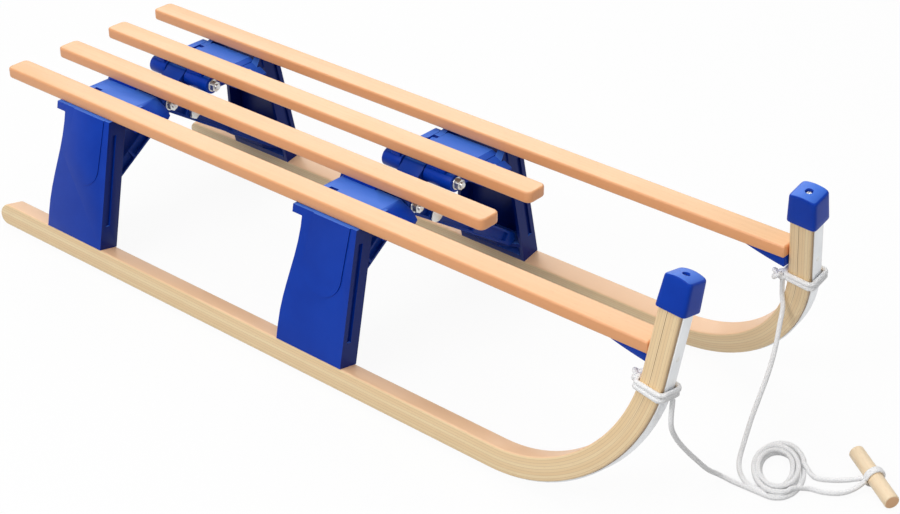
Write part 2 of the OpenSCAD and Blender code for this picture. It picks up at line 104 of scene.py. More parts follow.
# %% Sizes and the leaning side frame
MM = 0.001
slat_l, slat_w, slat_t, seat_z = 759.0, 33.0, 15.0, 221.0
inner_y, outer_y = 43.0, 129.0
track_w, lean = 330.0, math.radians(12)
runner_w, band_t, runner_all = 28.0, 2.0, 30.0
straight_l, bend_r, bend_a, horn_l = 881.0, 203.0, math.radians(86), 101.0
mid_x = 546.332
drop = 5.0 * math.sin(lean)
rope_r = 2.9
SIDES = {"near": -1, "far": 1}


def from_side(x, v, o, side):
    """Points of a side frame in metres. Going up the plane moves a point inwards by the sine of the lean and
    up by its cosine, and going outwards moves it out by the cosine and up by the sine."""
    y = track_w / 2 - v * math.sin(lean) + o * math.cos(lean)
    z = v * math.cos(lean) + o * math.sin(lean) - drop
    return np.stack(np.broadcast_arrays(x - mid_x, side * y, z), -1) * MM


def along_bend(s):
    """The runner's ground line at distance s past the start of the bend, as (x, v) and the direction in which
    v grows there: straight before the bend, a circle of radius bend_r in it and straight again up the horn."""
    turned = np.clip(s / bend_r, 0, bend_a)
    before, after = np.minimum(s, 0), np.maximum(s - bend_r * bend_a, 0)
    x = straight_l + before + bend_r * np.sin(turned) + after * math.cos(bend_a)
    v = bend_r * (1 - np.cos(turned)) + after * math.sin(bend_a)
    return x, v, -np.sin(turned), np.cos(turned)


def on_bend(s, v, o, side):
    """Points at height v over the ground line and at distance o outwards, at distance s past the bend's start."""
    x0, v0, nx, nv = along_bend(s)
    return from_side(x0 + nx * v, v0 + nv * v, o, side)


horn_s = bend_r * bend_a
print("horn starts", round(horn_s, 1), "mm past the start of the bend")

# %% [markdown]
# ## Meshes from arrays
# A closed piece is a stack of rings with the same number of points. Neighbouring rings are joined by
# four-sided faces and the two ends are closed. The sum of the small pyramids under the faces tells whether
# the piece came out inside out, and then every face is turned round.

# %% Mesh helpers
def build(name, rings, place=None, smooth_angle=40.0, side=None):
    """A closed piece from rings of points, in metres. Face (i, j) joins point j and j + 1 of ring i to the same points
    of ring i + 1. Place is what the materials read, a point of the pattern for every point of the mesh, and side is 1
    for rings that the finish tones darker and warmer and 0 for rings on a face: painted shade on a slat's sides, end
    grain on the handle's ends."""
    rows, cols = rings.shape[:2]
    i, j = np.meshgrid(np.arange(rows - 1), np.arange(cols), indexing="ij")
    k = (j + 1) % cols
    quads = np.stack([i * cols + j, i * cols + k, (i + 1) * cols + k, (i + 1) * cols + j], -1).reshape(-1, 4)
    points = rings.reshape(-1, 3)
    ends = [np.arange(cols)[::-1], (rows - 1) * cols + np.arange(cols)]
    corner = points[quads]
    volume = np.einsum("ij,ij->", corner[:, 0] - points.mean(0),
                       np.cross(corner[:, 1] - corner[:, 0], corner[:, 3] - corner[:, 0]))
    faces = [list(map(int, q)) for q in quads] + [list(map(int, e)) for e in ends]
    if volume < 0:
        faces = [f[::-1] for f in faces]
    mesh = bpy.data.meshes.new(name)
    mesh.from_pydata(points.tolist(), [], faces)
    spots = points if place is None else place.reshape(-1, 3)
    mark = mesh.attributes.new("pattern_place", "FLOAT_VECTOR", "POINT")
    mark.data.foreach_set("vector", spots.astype(np.float32).ravel())
    if side is not None:
        mark = mesh.attributes.new("marked_side", "FLOAT", "POINT")
        mark.data.foreach_set("value", np.repeat(side, cols).astype(np.float32))
    finish_mesh(mesh, smooth_angle)
    piece = bpy.data.objects.new(name, mesh)
    bpy.context.scene.collection.objects.link(piece)
    return piece


def finish_mesh(mesh, smooth_angle):
    """Smooth faces, with a hard line only where two faces meet at more than the angle."""
    mesh.validate()
    mesh.polygons.foreach_set("use_smooth", np.ones(len(mesh.polygons), bool))
    mesh.set_sharp_from_angle(angle=math.radians(smooth_angle))
    mesh.update()


def rounded_outline(a0, a1, b0, b1, r0, r1, steps=6):
    """A rectangle with round corners, as points in order: radius r0 at the a0 end and r1 at the a1 end."""
    q = np.linspace(0, math.pi / 2, steps)
    arcs = [(a1 - r1, b1 - r1, r1, 0), (a0 + r0, b1 - r0, r0, 1),
            (a0 + r0, b0 + r0, r0, 2), (a1 - r1, b0 + r1, r1, 3)]
    return np.concatenate([np.stack([a + r * np.cos(q + n * math.pi / 2), b + r * np.sin(q + n * math.pi / 2)], -1)
                           for a, b, r, n in arcs])


def dress(piece, body, finish, slot, *nodes):
    """The piece rides on its body, takes a finish, and stands for the CAD nodes that it replaces."""
    piece.data.materials.clear()
    piece.data.materials.append(finish)
    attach(piece, body)
    if nodes:
        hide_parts(*nodes)
    return piece


print("mesh helpers ready")

# %% [markdown]
# ## Finishes
# Every finish is worked out by nodes. The two woods share one grain: long, narrow streaks from a noise that
# is stretched along the board, and short dark pores from a finer one. All the hard finishes share a group of
# faint marks, so that gloss is never perfectly even.

# %% Colour and node helpers
def colour(r, g, b):
    """A colour as a screen shows it, 0 to 255, turned into the linear light that Blender works with."""
    c = np.array([r, g, b]) / 255
    return tuple(np.where(c <= 0.04045, c / 12.92, ((c + 0.055) / 1.055) ** 2.4)) + (1.0,)


def wire(tree, kind, **settings):
    """A new node with some of its own settings. Inputs are set by number or name afterwards."""
    node = tree.nodes.new(kind)
    for key, value in settings.items():
        setattr(node, key, value)
    return node


def maths(tree, operation, a, b=None, c=None):
    """One Math node, whose inputs are numbers or other nodes' outputs."""
    node = wire(tree, "ShaderNodeMath", operation=operation)
    for socket, value in zip(node.inputs, (a, b, c)):
        if isinstance(value, (int, float)):
            socket.default_value = value
        elif value is not None:
            tree.links.new(value, socket)
    return node.outputs[0]


def mixed(tree, factor, a, b):
    """Colour a where the factor is 0 and colour b where it is 1."""
    node = wire(tree, "ShaderNodeMix", data_type="RGBA", clamp_factor=True)
    for socket, value in ((node.inputs["Factor"], factor), (node.inputs[6], a), (node.inputs[7], b)):
        if isinstance(value, (tuple, float, int)):
            socket.default_value = value
        else:
            tree.links.new(value, socket)
    return node.outputs[2]


def stretched_noise(tree, place, scale, stretch, detail, rough=0.5):
    """Noise of a vector that is first multiplied by a stretch along each axis."""
    grown = wire(tree, "ShaderNodeVectorMath", operation="MULTIPLY")
    tree.links.new(place, grown.inputs[0])
    grown.inputs[1].default_value = stretch
    noise = wire(tree, "ShaderNodeTexNoise")
    noise.inputs["Scale"].default_value = scale
    noise.inputs["Detail"].default_value = detail
    noise.inputs["Roughness"].default_value = rough
    tree.links.new(grown.outputs[0], noise.inputs["Vector"])
    return noise.outputs["Fac"]


def spread(tree, value, low, high):
    """A value from low to high becomes 0 to 1, and is held there outside."""
    node = wire(tree, "ShaderNodeMapRange", interpolation_type="SMOOTHSTEP")
    node.inputs["From Min"].default_value = low
    node.inputs["From Max"].default_value = high
    tree.links.new(value, node.inputs["Value"])
    return node.outputs["Result"]


def new_group(name, inputs, outputs):
    """An empty shader node group with named sockets, and its two end nodes."""
    group = bpy.data.node_groups.new(name, "ShaderNodeTree")
    for label, kind in inputs:
        group.interface.new_socket(label, in_out="INPUT", socket_type=kind)
    for label, kind in outputs:
        group.interface.new_socket(label, in_out="OUTPUT", socket_type=kind)
    return group, group.nodes.new("NodeGroupInput"), group.nodes.new("NodeGroupOutput")


print("a beech tone in linear light:", [round(c, 3) for c in colour(250, 203, 150)])

# %% Shared groups: wood grain and faint marks
grain_group, g_in, g_out = new_group(
    "wood_grain",
    [("Place", "NodeSocketVector"), ("Light", "NodeSocketColor"), ("Dark", "NodeSocketColor"),
     ("Pores", "NodeSocketColor"), ("Contrast", "NodeSocketFloat")],
    [("Color", "NodeSocketColor"), ("Height", "NodeSocketFloat")])
broad = spread(grain_group, stretched_noise(grain_group, g_in.outputs["Place"], 1.0, (1.2, 38, 38), 3), 0.3, 0.7)
fine = spread(grain_group, stretched_noise(grain_group, g_in.outputs["Place"], 1.0, (9, 420, 420), 4, 0.6), 0.25, 0.75)
pores = spread(grain_group, stretched_noise(grain_group, g_in.outputs["Place"], 1.0, (150, 1500, 1500), 2, 0.5),
               0.62, 0.74)
streak = maths(grain_group, "MULTIPLY",
               maths(grain_group, "MULTIPLY_ADD", fine, 0.45, maths(grain_group, "MULTIPLY", broad, 0.55)),
               g_in.outputs["Contrast"])
toned = mixed(grain_group, streak, g_in.outputs["Light"], g_in.outputs["Dark"])
grain_group.links.new(mixed(grain_group, maths(grain_group, "MULTIPLY", pores, 0.35), toned, g_in.outputs["Pores"]),
                      g_out.inputs["Color"])
grain_group.links.new(maths(grain_group, "SUBTRACT", maths(grain_group, "MULTIPLY", fine, 0.5), pores),
                      g_out.inputs["Height"])

marks_group, m_in, m_out = new_group(
    "faint_marks", [("Place", "NodeSocketVector"), ("Size", "NodeSocketFloat")],
    [("Cloud", "NodeSocketFloat"), ("Speck", "NodeSocketFloat")])
sized = wire(marks_group, "ShaderNodeVectorMath", operation="SCALE")
marks_group.links.new(m_in.outputs["Place"], sized.inputs[0])
marks_group.links.new(m_in.outputs["Size"], sized.inputs["Scale"])
marks_group.links.new(stretched_noise(marks_group, sized.outputs[0], 18, (1, 1, 1), 4), m_out.inputs["Cloud"])
marks_group.links.new(stretched_noise(marks_group, sized.outputs[0], 900, (1, 1, 1), 2), m_out.inputs["Speck"])
print("groups:", grain_group.name, marks_group.name)


# %% Materials
def new_material(name, roughness, metallic=0.0, coat=0.0):
    """A material with its Principled shader, and what reads a point of the pattern from the mesh."""
    material = bpy.data.materials.new(name)
    material.use_nodes = True
    tree = material.node_tree
    shader = tree.nodes["Principled BSDF"]
    shader.inputs["Roughness"].default_value = roughness
    shader.inputs["Metallic"].default_value = metallic
    shader.inputs["Coat Weight"].default_value = coat
    shader.inputs["Coat Roughness"].default_value = 0.15
    return material, tree, shader


def pattern_place(tree):
    """The pattern's own point, carried by the mesh."""
    return wire(tree, "ShaderNodeAttribute", attribute_name="pattern_place").outputs["Vector"]


def bump(tree, shader, height, strength, distance):
    """A height becomes a normal."""
    node = wire(tree, "ShaderNodeBump")
    node.inputs["Strength"].default_value = strength
    node.inputs["Distance"].default_value = distance
    tree.links.new(height, node.inputs["Height"])
    tree.links.new(node.outputs["Normal"], shader.inputs["Normal"])


def place_group(tree, group, **values):
    """A shared group placed in a material, with its own values."""
    node = wire(tree, "ShaderNodeGroup")
    node.node_tree = group
    for label, value in values.items():
        if isinstance(value, (tuple, float, int)):
            node.inputs[label].default_value = value
        else:
            tree.links.new(value, node.inputs[label])
    return node


def varied(tree, shader, value, low, high):
    """Roughness that wanders between two values."""
    tree.links.new(maths(tree, "MULTIPLY_ADD", value, high - low, low), shader.inputs["Roughness"])


def wood(name, light, dark, pore, contrast, coat, end_grain_and_side_shade=None):
    """A varnished wood with the shared grain. Its last colour is a darker, warmer tone for the rings that the mesh
    marks: painted shade on a slat's sides, end grain on the handle's ends.
    """
    material, tree, shader = new_material(name, 0.42, coat=coat)
    place = pattern_place(tree)
    grain = place_group(tree, grain_group, Place=place, Light=light, Dark=dark, Pores=pore, Contrast=contrast)
    marks = place_group(tree, marks_group, Place=place, Size=1.0)
    tone = grain.outputs["Color"]
    if end_grain_and_side_shade:
        side = wire(tree, "ShaderNodeAttribute", attribute_name="marked_side").outputs["Fac"]
        tone = mixed(tree, maths(tree, "MULTIPLY", side, 0.75), tone, end_grain_and_side_shade)
    tree.links.new(tone, shader.inputs["Base Color"])
    varied(tree, shader, marks.outputs["Cloud"], 0.36, 0.5)
    bump(tree, shader, grain.outputs["Height"], 0.25, 0.0002)
    return material


# The slats' sides take a darker, warmer tone: painted shade on the sides.
slat_wood = wood("slat_wood", colour(246, 196, 142), colour(234, 178, 124), colour(204, 140, 92), 0.75, 0.2,
                 end_grain_and_side_shade=colour(240, 164, 110))


def laminated(name):
    """Runner wood: veneers 3.5 mm thick, each with its own tone, and a thin darker glue line between two. Up the
    bend the middle line is open and dark, and the top veneer shows its pinker face."""
    material, tree, shader = new_material(name, 0.45, coat=0.2)
    place = pattern_place(tree)
    split = wire(tree, "ShaderNodeSeparateXYZ")
    tree.links.new(place, split.inputs[0])
    layer = maths(tree, "DIVIDE", split.outputs["Y"], 0.0035)
    number = maths(tree, "FLOOR", layer)
    tone = wire(tree, "ShaderNodeTexWhiteNoise", noise_dimensions="1D")
    tree.links.new(number, tone.inputs["W"])
    part = maths(tree, "ABSOLUTE", maths(tree, "SUBTRACT", maths(tree, "FRACT", layer), 0.5))
    seam = maths(tree, "ABSOLUTE", maths(tree, "SUBTRACT", split.outputs["Y"], 0.0155))
    opened = maths(tree, "MULTIPLY", spread(tree, split.outputs["X"], 0.18, 0.34),
                   maths(tree, "SUBTRACT", 1.0, spread(tree, seam, 0.00025, 0.0006)))
    glue = maths(tree, "MAXIMUM", spread(tree, part, 0.44, 0.485), maths(tree, "MULTIPLY", opened, 1.9))
    shifted = wire(tree, "ShaderNodeVectorMath", operation="ADD")
    steps = wire(tree, "ShaderNodeCombineXYZ")
    tree.links.new(maths(tree, "MULTIPLY", number, 0.37), steps.inputs["X"])
    tree.links.new(place, shifted.inputs[0])
    tree.links.new(steps.outputs[0], shifted.inputs[1])
    grain = place_group(tree, grain_group, Place=shifted.outputs[0], Light=colour(255, 234, 192),
                        Dark=colour(244, 208, 158), Pores=colour(206, 156, 108), Contrast=0.7)
    layered = mixed(tree, maths(tree, "MULTIPLY", tone.outputs["Value"], 0.45), grain.outputs["Color"],
                    colour(238, 200, 148))
    lined = mixed(tree, maths(tree, "MULTIPLY", glue, 0.5), layered, colour(164, 116, 74))
    face = spread(tree, split.outputs["Y"], 0.0262, 0.0276)
    tree.links.new(mixed(tree, maths(tree, "MULTIPLY", face, 0.8), lined, colour(252, 206, 164)),
                   shader.inputs["Base Color"])
    marks = place_group(tree, marks_group, Place=place, Size=1.0)
    varied(tree, shader, marks.outputs["Cloud"], 0.4, 0.52)
    bump(tree, shader, maths(tree, "SUBTRACT", grain.outputs["Height"], glue), 0.25, 0.0002)
    return material


runner_wood = laminated("runner_wood")
handle_wood = wood("handle_wood", colour(255, 234, 200), colour(248, 216, 174), colour(214, 164, 122), 0.7, 0.0,
                   end_grain_and_side_shade=colour(236, 176, 122))


def moulded(name, base, deep, low, high):
    """Moulded plastic: one deep colour that clouds slightly, with a fine pebbled skin. Faces that look up are painted a
    paler blue, a painted sheen from the light above. On the legs, which the mesh marks, the fronts and insides are
    painted a deeper blue, as painted shade."""
    material, tree, shader = new_material(name, low)
    shader.inputs["Specular IOR Level"].default_value = 0.14
    at = wire(tree, "ShaderNodeTexCoord")
    marks = place_group(tree, marks_group, Place=at.outputs["Object"], Size=1.0)
    faces = wire(tree, "ShaderNodeSeparateXYZ")
    tree.links.new(at.outputs["Normal"], faces.inputs[0])
    spot = wire(tree, "ShaderNodeSeparateXYZ")
    tree.links.new(at.outputs["Object"], spot.inputs[0])
    clouded = mixed(tree, spread(tree, marks.outputs["Cloud"], 0.3, 0.7), base, deep)
    # Painted sheen: faces that look up are mixed towards a paler blue, standing in for the light from above.
    painted_sheen = mixed(tree, maths(tree, "MULTIPLY", spread(tree, faces.outputs["Z"], 0.84, 0.97), 0.66), clouded,
                  colour(88, 142, 244))
    # Painted shade: on the legs, faces that look forward or in towards the middle are mixed towards a deep blue.
    inward = maths(tree, "MULTIPLY", faces.outputs["Y"], maths(tree, "SIGN", spot.outputs["Y"]))
    painted_shade = maths(tree, "MAXIMUM", spread(tree, faces.outputs["X"], 0.8, 0.95), spread(tree, inward, -0.6, -0.9))
    leg = wire(tree, "ShaderNodeAttribute", attribute_name="marked_side").outputs["Fac"]
    tree.links.new(mixed(tree, maths(tree, "MULTIPLY", maths(tree, "MULTIPLY", painted_shade, leg), 0.72), painted_sheen,
                         colour(3, 14, 80)), shader.inputs["Base Color"])
    varied(tree, shader, marks.outputs["Cloud"], low, high)
    bump(tree, shader, marks.outputs["Speck"], 0.12, 0.00015)
    return material


blue_plastic = moulded("blue_plastic", colour(8, 64, 182), colour(5, 58, 172), 0.3, 0.42)
brace_plastic = moulded("brace_plastic", colour(9, 60, 162), colour(7, 54, 150), 0.32, 0.44)


def metal(name, base, low, high, stretch):
    """Plated steel: bright, with fine drawn lines along one direction."""
    material, tree, shader = new_material(name, low, metallic=1.0)
    where = wire(tree, "ShaderNodeTexCoord").outputs["Object"]
    lines = stretched_noise(tree, where, 1.0, stretch, 3)
    marks = place_group(tree, marks_group, Place=where, Size=2.0)
    tree.links.new(mixed(tree, maths(tree, "MULTIPLY", marks.outputs["Cloud"], 0.4), base, colour(150, 152, 156)),
                   shader.inputs["Base Color"])
    varied(tree, shader, lines, low, high)
    bump(tree, shader, lines, 0.1, 0.0001)
    return material


steel_finish = metal("steel_band", colour(232, 234, 236), 0.3, 0.5, (20, 900, 900))
zinc_finish = metal("zinc_hardware", colour(226, 226, 224), 0.22, 0.42, (600, 600, 600))


def braided(name):
    """White rope: two families of yarns wind round it the opposite way. The mesh gives the distance along the
    rope and the share of a turn round it, and the higher of two waves is the yarn on top."""
    material, tree, shader = new_material(name, 0.8)
    split = wire(tree, "ShaderNodeSeparateXYZ")
    tree.links.new(pattern_place(tree), split.inputs[0])
    along = maths(tree, "MULTIPLY", split.outputs["X"], 2 * math.pi / 0.0042)
    around = maths(tree, "MULTIPLY", split.outputs["Y"], 2 * math.pi * 4)
    right = maths(tree, "SINE", maths(tree, "ADD", along, around))
    left = maths(tree, "SINE", maths(tree, "SUBTRACT", along, around))
    weave = maths(tree, "MAXIMUM", right, left)
    # Painted shade: the dips between the yarns are a shade greyer than the yarns on top.
    tree.links.new(mixed(tree, spread(tree, weave, -0.6, 0.6), colour(244, 245, 248), colour(254, 254, 254)),
                   shader.inputs["Base Color"])
    bump(tree, shader, weave, 0.35, 0.0003)
    return material


rope_finish = braided("rope")
print("materials:", [m.name for m in bpy.data.materials if m.use_nodes])

# %% [markdown]
# ## Tow rope
# One braided rope runs from a knot on the near horn, through a loose coil on the ground, to the wooden handle
# and back through the coil to the far horn. A rope is a round section carried along a smooth curve through a
# few points. A spline passes through every point, so the points are the route of the model itself.

# %% Curves and rope surfaces
def spline(points, steps):
    """Catmull-Rom: between two points the curve is a cubic whose slopes come from their neighbours."""
    p = np.asarray(points, float)
    a = np.vstack([p[:1], p[:-1]])[:-1] if len(p) < 3 else np.vstack([p[:1], p[:-2]])
    b, c = p[:-1], p[1:]
    d = np.vstack([p[2:], p[-1:]])
    t = (np.arange(steps) / steps)[None, :, None]
    a, b, c, d = (q[:, None] for q in (a, b, c, d))
    curve = 0.5 * (2 * b + (c - a) * t + (2 * a - 5 * b + 4 * c - d) * t**2 + (3 * b - a - 3 * c + d) * t**3)
    return np.vstack([curve.reshape(-1, 3), p[-1:]])


def even(points, gap):
    """The same line with its points an even distance apart, found by its own length."""
    far = np.concatenate([[0], np.cumsum(np.linalg.norm(np.diff(points, axis=0), axis=1))])
    s = np.linspace(0, far[-1], max(8, int(far[-1] / gap)))
    return np.stack([np.interp(s, far, points[:, n]) for n in range(3)], -1), s


def rope(name, route, sides=16, reference=(0.3, 0.8, 0.6), gap=1.2, squeeze=(1.0, 1.0), ends=2.0):
    """A round section of radius rope_r at every point of the route. Two directions square to the route span it:
    one is square to a fixed reference as well, the other to both. The ends are rounded off over a short length."""
    p, s = even(np.asarray(route, float), gap)
    t = np.gradient(p, axis=0)
    t /= np.linalg.norm(t, axis=1)[:, None]
    u = np.cross(t, reference)
    u /= np.linalg.norm(u, axis=1)[:, None]
    w = np.cross(t, u)
    angle = np.linspace(0, 2 * math.pi, sides, endpoint=False)
    near_end = np.clip(np.minimum(s, s[-1] - s) / ends, 0, 1)
    radius = (rope_r * np.sqrt(np.clip(1 - (1 - near_end) ** 2, 0.02, 1)))[:, None]
    weave = np.maximum(np.sin(s[:, None] * 2 * math.pi / 4.2 + 4 * angle), np.sin(s[:, None] * 2 * math.pi / 4.2 - 4 * angle))
    radius = radius * (1 + 0.03 * (weave - 1))
    ring = (p[:, None] + radius[..., None] * (squeeze[0] * np.cos(angle)[None, :, None] * u[:, None]
                                              + squeeze[1] * np.sin(angle)[None, :, None] * w[:, None]))
    place = np.stack(np.broadcast_arrays(s[:, None] * MM, (angle / (2 * math.pi))[None, :], 0.0), -1)
    piece = build(name, ring * MM, place, smooth_angle=60)
    return piece, p * MM, s[-1] * MM


wrap_at = {"near": math.radians(79), "far": math.radians(81.5)}


def world(points):
    """Points counted from the slats' rear ends, as in the model's source, to the model's own middle."""
    return np.asarray(points, float) - [mid_x, 0, 0]


near_route = world([[1086, -150, 157], [1087, -143, 133], [1086, -131, 109], [1085, -110, 82], [1084, -85, 54],
                    [1083, -59, 26], [1085, -38, 8], [1100, -33, 3], [1122, -32, 3], [1140, -34, 3]])
far_route = world([[1046, 131, 150], [1051, 127, 135], [1056, 115, 119], [1062, 99, 96], [1067, 80, 75],
                   [1072, 57, 57], [1076, 37, 40], [1080, 19, 20], [1084, 5, 6], [1093, -9, 3], [1106, -21, 3]])
upper_route = world([[1166, 30, 5], [1182, 35, 6], [1197, 44, 8], [1206, 51, 10], [1213, 56.5, 12]])
lower_route = world([[1172, 9, 4], [1188, 14, 4], [1203, 23, 5], [1212, 37, 7], [1216.5, 53, 11.5]])
near_top = on_bend(np.array([wrap_at["near"] * bend_r + 2]), -4.5, 9.0, -1) / MM
far_top = on_bend(np.array([wrap_at["far"] * bend_r + 2]), 33.5, -4.0, 1) / MM
near_route, far_route = np.vstack([near_top, near_route[1:]]), np.vstack([far_top, far_route])
print("strands start at", np.round(near_top[0] + [mid_x, 0, 0], 1), np.round(far_top[0] + [mid_x, 0, 0], 1))
print("routes:", len(near_route), len(far_route), len(upper_route), len(lower_route), "points")

# %% [markdown]
# The coil's turns are ovals that shrink a little with each turn on the ground, and the last turns climb onto
# them and widen again. Worked out as one curve, the turns lie beside and on each other and never cross through.

# %% The coil
coil_mid, coil_turn = world([1127, 16, 0]), math.radians(-60)


def coil_points(turns, share, height):
    """An oval 102 by 62 mm times a share. The number of turns gives the place round it, and the height how far
    the middle of the rope lies above the ground."""
    phi = 2 * math.pi * turns
    u, w = 51 * share * np.cos(phi), 31 * share * np.sin(phi)
    x = coil_mid[0] + u * math.cos(coil_turn) - w * math.sin(coil_turn)
    y = coil_mid[1] + u * math.sin(coil_turn) + w * math.cos(coil_turn)
    return np.stack(np.broadcast_arrays(x, y, height), -1)


ground = np.linspace(-0.04, 2.12, 54)
lower_layer = coil_points(ground, 1 - 0.21 * (ground + 0.04), 2.95 + 0 * ground)
climb = np.linspace(2.16, 4.11, 49)
rise = np.clip((climb - 2.16) / 0.2, 0, 1)
upper_layer = coil_points(climb, 0.55 + 0.19 * (climb - 2.16) + 0.03 * np.sin(5 * climb), 2.95 + 5.9 * rise * rise * (3 - 2 * rise))
far_tail = world([[1115, -25.6, 3], [1125, -26.3, 3], [1135, -26.4, 3], [1142, -25, 4]])
main_points = np.vstack([near_route[:-1], lower_layer, upper_layer, lower_route])
main_line = spline(main_points, 8)
back = np.linspace(0.60, 0.28, 12)
parted = np.clip((0.60 - back) / 0.22, 0, 1)
return_points = np.vstack([coil_points(back, 0.822 + 0.15 * parted * parted * (3 - 2 * parted), 8.55 + 0 * back),
                           upper_route])
return_line = spline(return_points, 8)
print("coil turns", round(float(climb[-1] - ground[0]), 2))

# %% Rope pieces
rope_main, main_path, main_len = rope("tow_rope_main", main_line)
rope_back, back_path, back_len = rope("tow_rope_back", return_line, reference=(0.1, 0.2, 1.0))
rope_far, far_path, far_len = rope("tow_rope_far", spline(np.vstack([far_route, far_tail]), 8), reference=(1.0, 0.4, 0.3))
dress(rope_main, "near_frame", rope_finish, "rope", "near_rope_strand", "rope_coil", "handle_rope_lower")
dress(rope_back, "near_frame", rope_finish, "rope", "handle_rope_upper")
dress(rope_far, "near_frame", rope_finish, "rope", "far_rope_strand")
print("rope lengths", round(main_len, 3), round(back_len, 3), round(far_len, 3))

# %% [markdown]
# ## Handle
# The handle is a piece of round stick, a turned shape: one radius for each place along its axis, with the edges
# of both ends rounded. It lies on the ground with its near end and on the ring of rope round its middle.

# %% Handle and its ring of rope
handle_l, handle_r, ring_r = 87.0, 9.0, 13.0
handle_mid = np.array([1220.5 - mid_x, 63.5, ring_r])
handle_turn, handle_tilt = math.radians(147.5), math.asin((ring_r - handle_r) / (handle_l / 2))
axis = np.array([math.cos(handle_turn) * math.cos(handle_tilt), math.sin(handle_turn) * math.cos(handle_tilt),
                 math.sin(handle_tilt)])
across = np.cross([0, 0, 1], axis) / np.linalg.norm(np.cross([0, 0, 1], axis))
above = np.cross(axis, across)


def turned(name, along, radius, sides=48):
    """A turned shape on the handle's axis: a circle of the given radius at each place along it."""
    angle = np.linspace(0, 2 * math.pi, sides, endpoint=False)
    c, s = np.cos(angle)[None, :, None], np.sin(angle)[None, :, None]
    r = radius[:, None, None]
    rings = handle_mid + along[:, None, None] * axis + r * (c * across + s * above)
    place = np.concatenate([np.broadcast_to(along[:, None, None], c.shape[:0] + (len(along), sides, 1)), r * c, r * s], -1)
    return build(name, rings * MM, place * MM, smooth_angle=50, side=(np.abs(along) > handle_l / 2 - 0.1).astype(float))


round_off = np.linspace(0, math.pi / 2, 5)
half = np.concatenate([[0.0], handle_r - 1.5 * (1 - np.sin(round_off))])
out = np.concatenate([[handle_l / 2], handle_l / 2 - 1.5 * (1 - np.cos(round_off))])
half[0] = 0.4
shaft = np.linspace(out[-1] - 3, -(out[-1] - 3), 12)
handle = turned("tow_handle", np.concatenate([out, shaft, -out[::-1]]),
                np.concatenate([half, np.full(12, handle_r), half[::-1]]))
dress(handle, "near_frame", handle_wood, "handle_wood", "rope_handle")

ring_angle = np.linspace(0, 2 * 2 * math.pi, 81)
ring_line = (handle_mid + (np.linspace(-3, 3, 81))[:, None] * axis
             + 11.0 * (np.cos(ring_angle)[:, None] * across + np.sin(ring_angle)[:, None] * above))
handle_ring, _, _ = rope("handle_ring", ring_line, reference=tuple(axis), gap=1.0, squeeze=(0.66, 1.0))
dress(handle_ring, "near_frame", rope_finish, "rope", "handle_rope_ring")
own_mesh(rope_far)
print("handle", len(handle.data.vertices), "points")

# %% [markdown]
# ## Rope round the horns
# The rope is tied round each horn with two turns and a knot behind. The turns follow the horn's square section
# at the distance of the rope's own radius, and move up the horn by one rope's width a turn.

# %% Turns and knots
for label, side in SIDES.items():
    start = wrap_at[label] * bend_r
    loop = rounded_outline(-3.2, runner_all + 3.2, -3.2, runner_w + 3.2, 5.8, 5.8, 5)
    loop = np.vstack([loop, loop, loop[:2]])
    climb_s = start + np.linspace(0.6, 13.4, len(loop))
    turns = on_bend(climb_s, loop[:, 0], loop[:, 1], side) / MM
    wrap, _, _ = rope(f"{label}_horn_turns", spline(turns, 4), reference=(0.1, 0.0, 1.0), gap=1.4)
    dress(wrap, f"{label}_frame", rope_finish, "rope", f"{label}_rope_wrap")
    a = np.linspace(0, 2 * math.pi, 90)
    wind = np.stack([np.sin(a) + 2 * np.sin(2 * a), np.cos(a) - 2 * np.cos(2 * a), -np.sin(3 * a)], -1)
    knot_o = runner_w / 2 + 2 if label == "near" else -5.0
    knot_mid = on_bend(np.array(start + 9.0), np.array(runner_all + 8.0), np.array(knot_o), side) / MM
    knot, _, _ = rope(f"{label}_horn_knot", knot_mid + 2.5 * wind, reference=(0.1, 0.9, 0.3), gap=1.0)
    dress(knot, f"{label}_frame", rope_finish, "rope")
print("rope turns tied round both horns")

# %% [markdown]
# ## Slats
# A slat is a board with rounded edges. Its outline is drawn in from the edge as it nears the top and the bottom
# face, by the quarter circle of the edge's radius, so one outline function gives the whole board.

# %% Seat slats
def slat(name, y, x1, r_front, number):
    """Outlines stacked from the underside to the top: near each face they shrink along a quarter circle."""
    edge = 2.6
    q = np.linspace(0, math.pi / 2, 5)
    inset = np.concatenate([edge * (1 - np.sin(q)), edge * (1 - np.cos(q))])
    height = np.concatenate([edge * (1 - np.cos(q)), slat_t - edge * (1 - np.sin(q))])
    rings = []
    for d, h in zip(inset, height):
        flat = rounded_outline(d, x1 - d, y - slat_w / 2 + d, y + slat_w / 2 - d, 7 - 0.8 * d, max(r_front - 0.8 * d, 0.4))
        rings.append(np.column_stack([flat[:, 0] - mid_x, flat[:, 1], np.full(len(flat), seat_z - slat_t + h)]))
    rings = np.array(rings) * MM
    # A slat's sides are marked, and the finish paints them a darker, warmer tone as painted shade.
    side = np.clip((edge - inset) / edge * 1.6, 0, 1)
    return build(name, rings, rings + [1.7 * number, 0.31 * number, 0.13 * number], smooth_angle=35, side=side)


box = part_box("near_outer_slat")
outer_end = box[1][0] / MM + mid_x
for number, (label, y, end, front) in enumerate([("near_outer", -outer_y, outer_end, 1.4), ("near_inner", -inner_y, slat_l, 8),
                                                 ("far_inner", inner_y, slat_l, 8), ("far_outer", outer_y, outer_end, 1.4)]):
    node = f"{label}_slat"
    board = slat(f"{label}_board", y, end, front, number)
    dress(board, frame["nodes"][node]["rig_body"], slat_wood, "slat_wood", node)
print("outer slats end at", round(outer_end, 1), "mm")

# %% [markdown]
# ## Runners
# A runner is glued up from thin veneers over a form, so its layers follow the bend. The section is carried along
# the ground line, and every point also carries its distance along and across the layers for the finish.

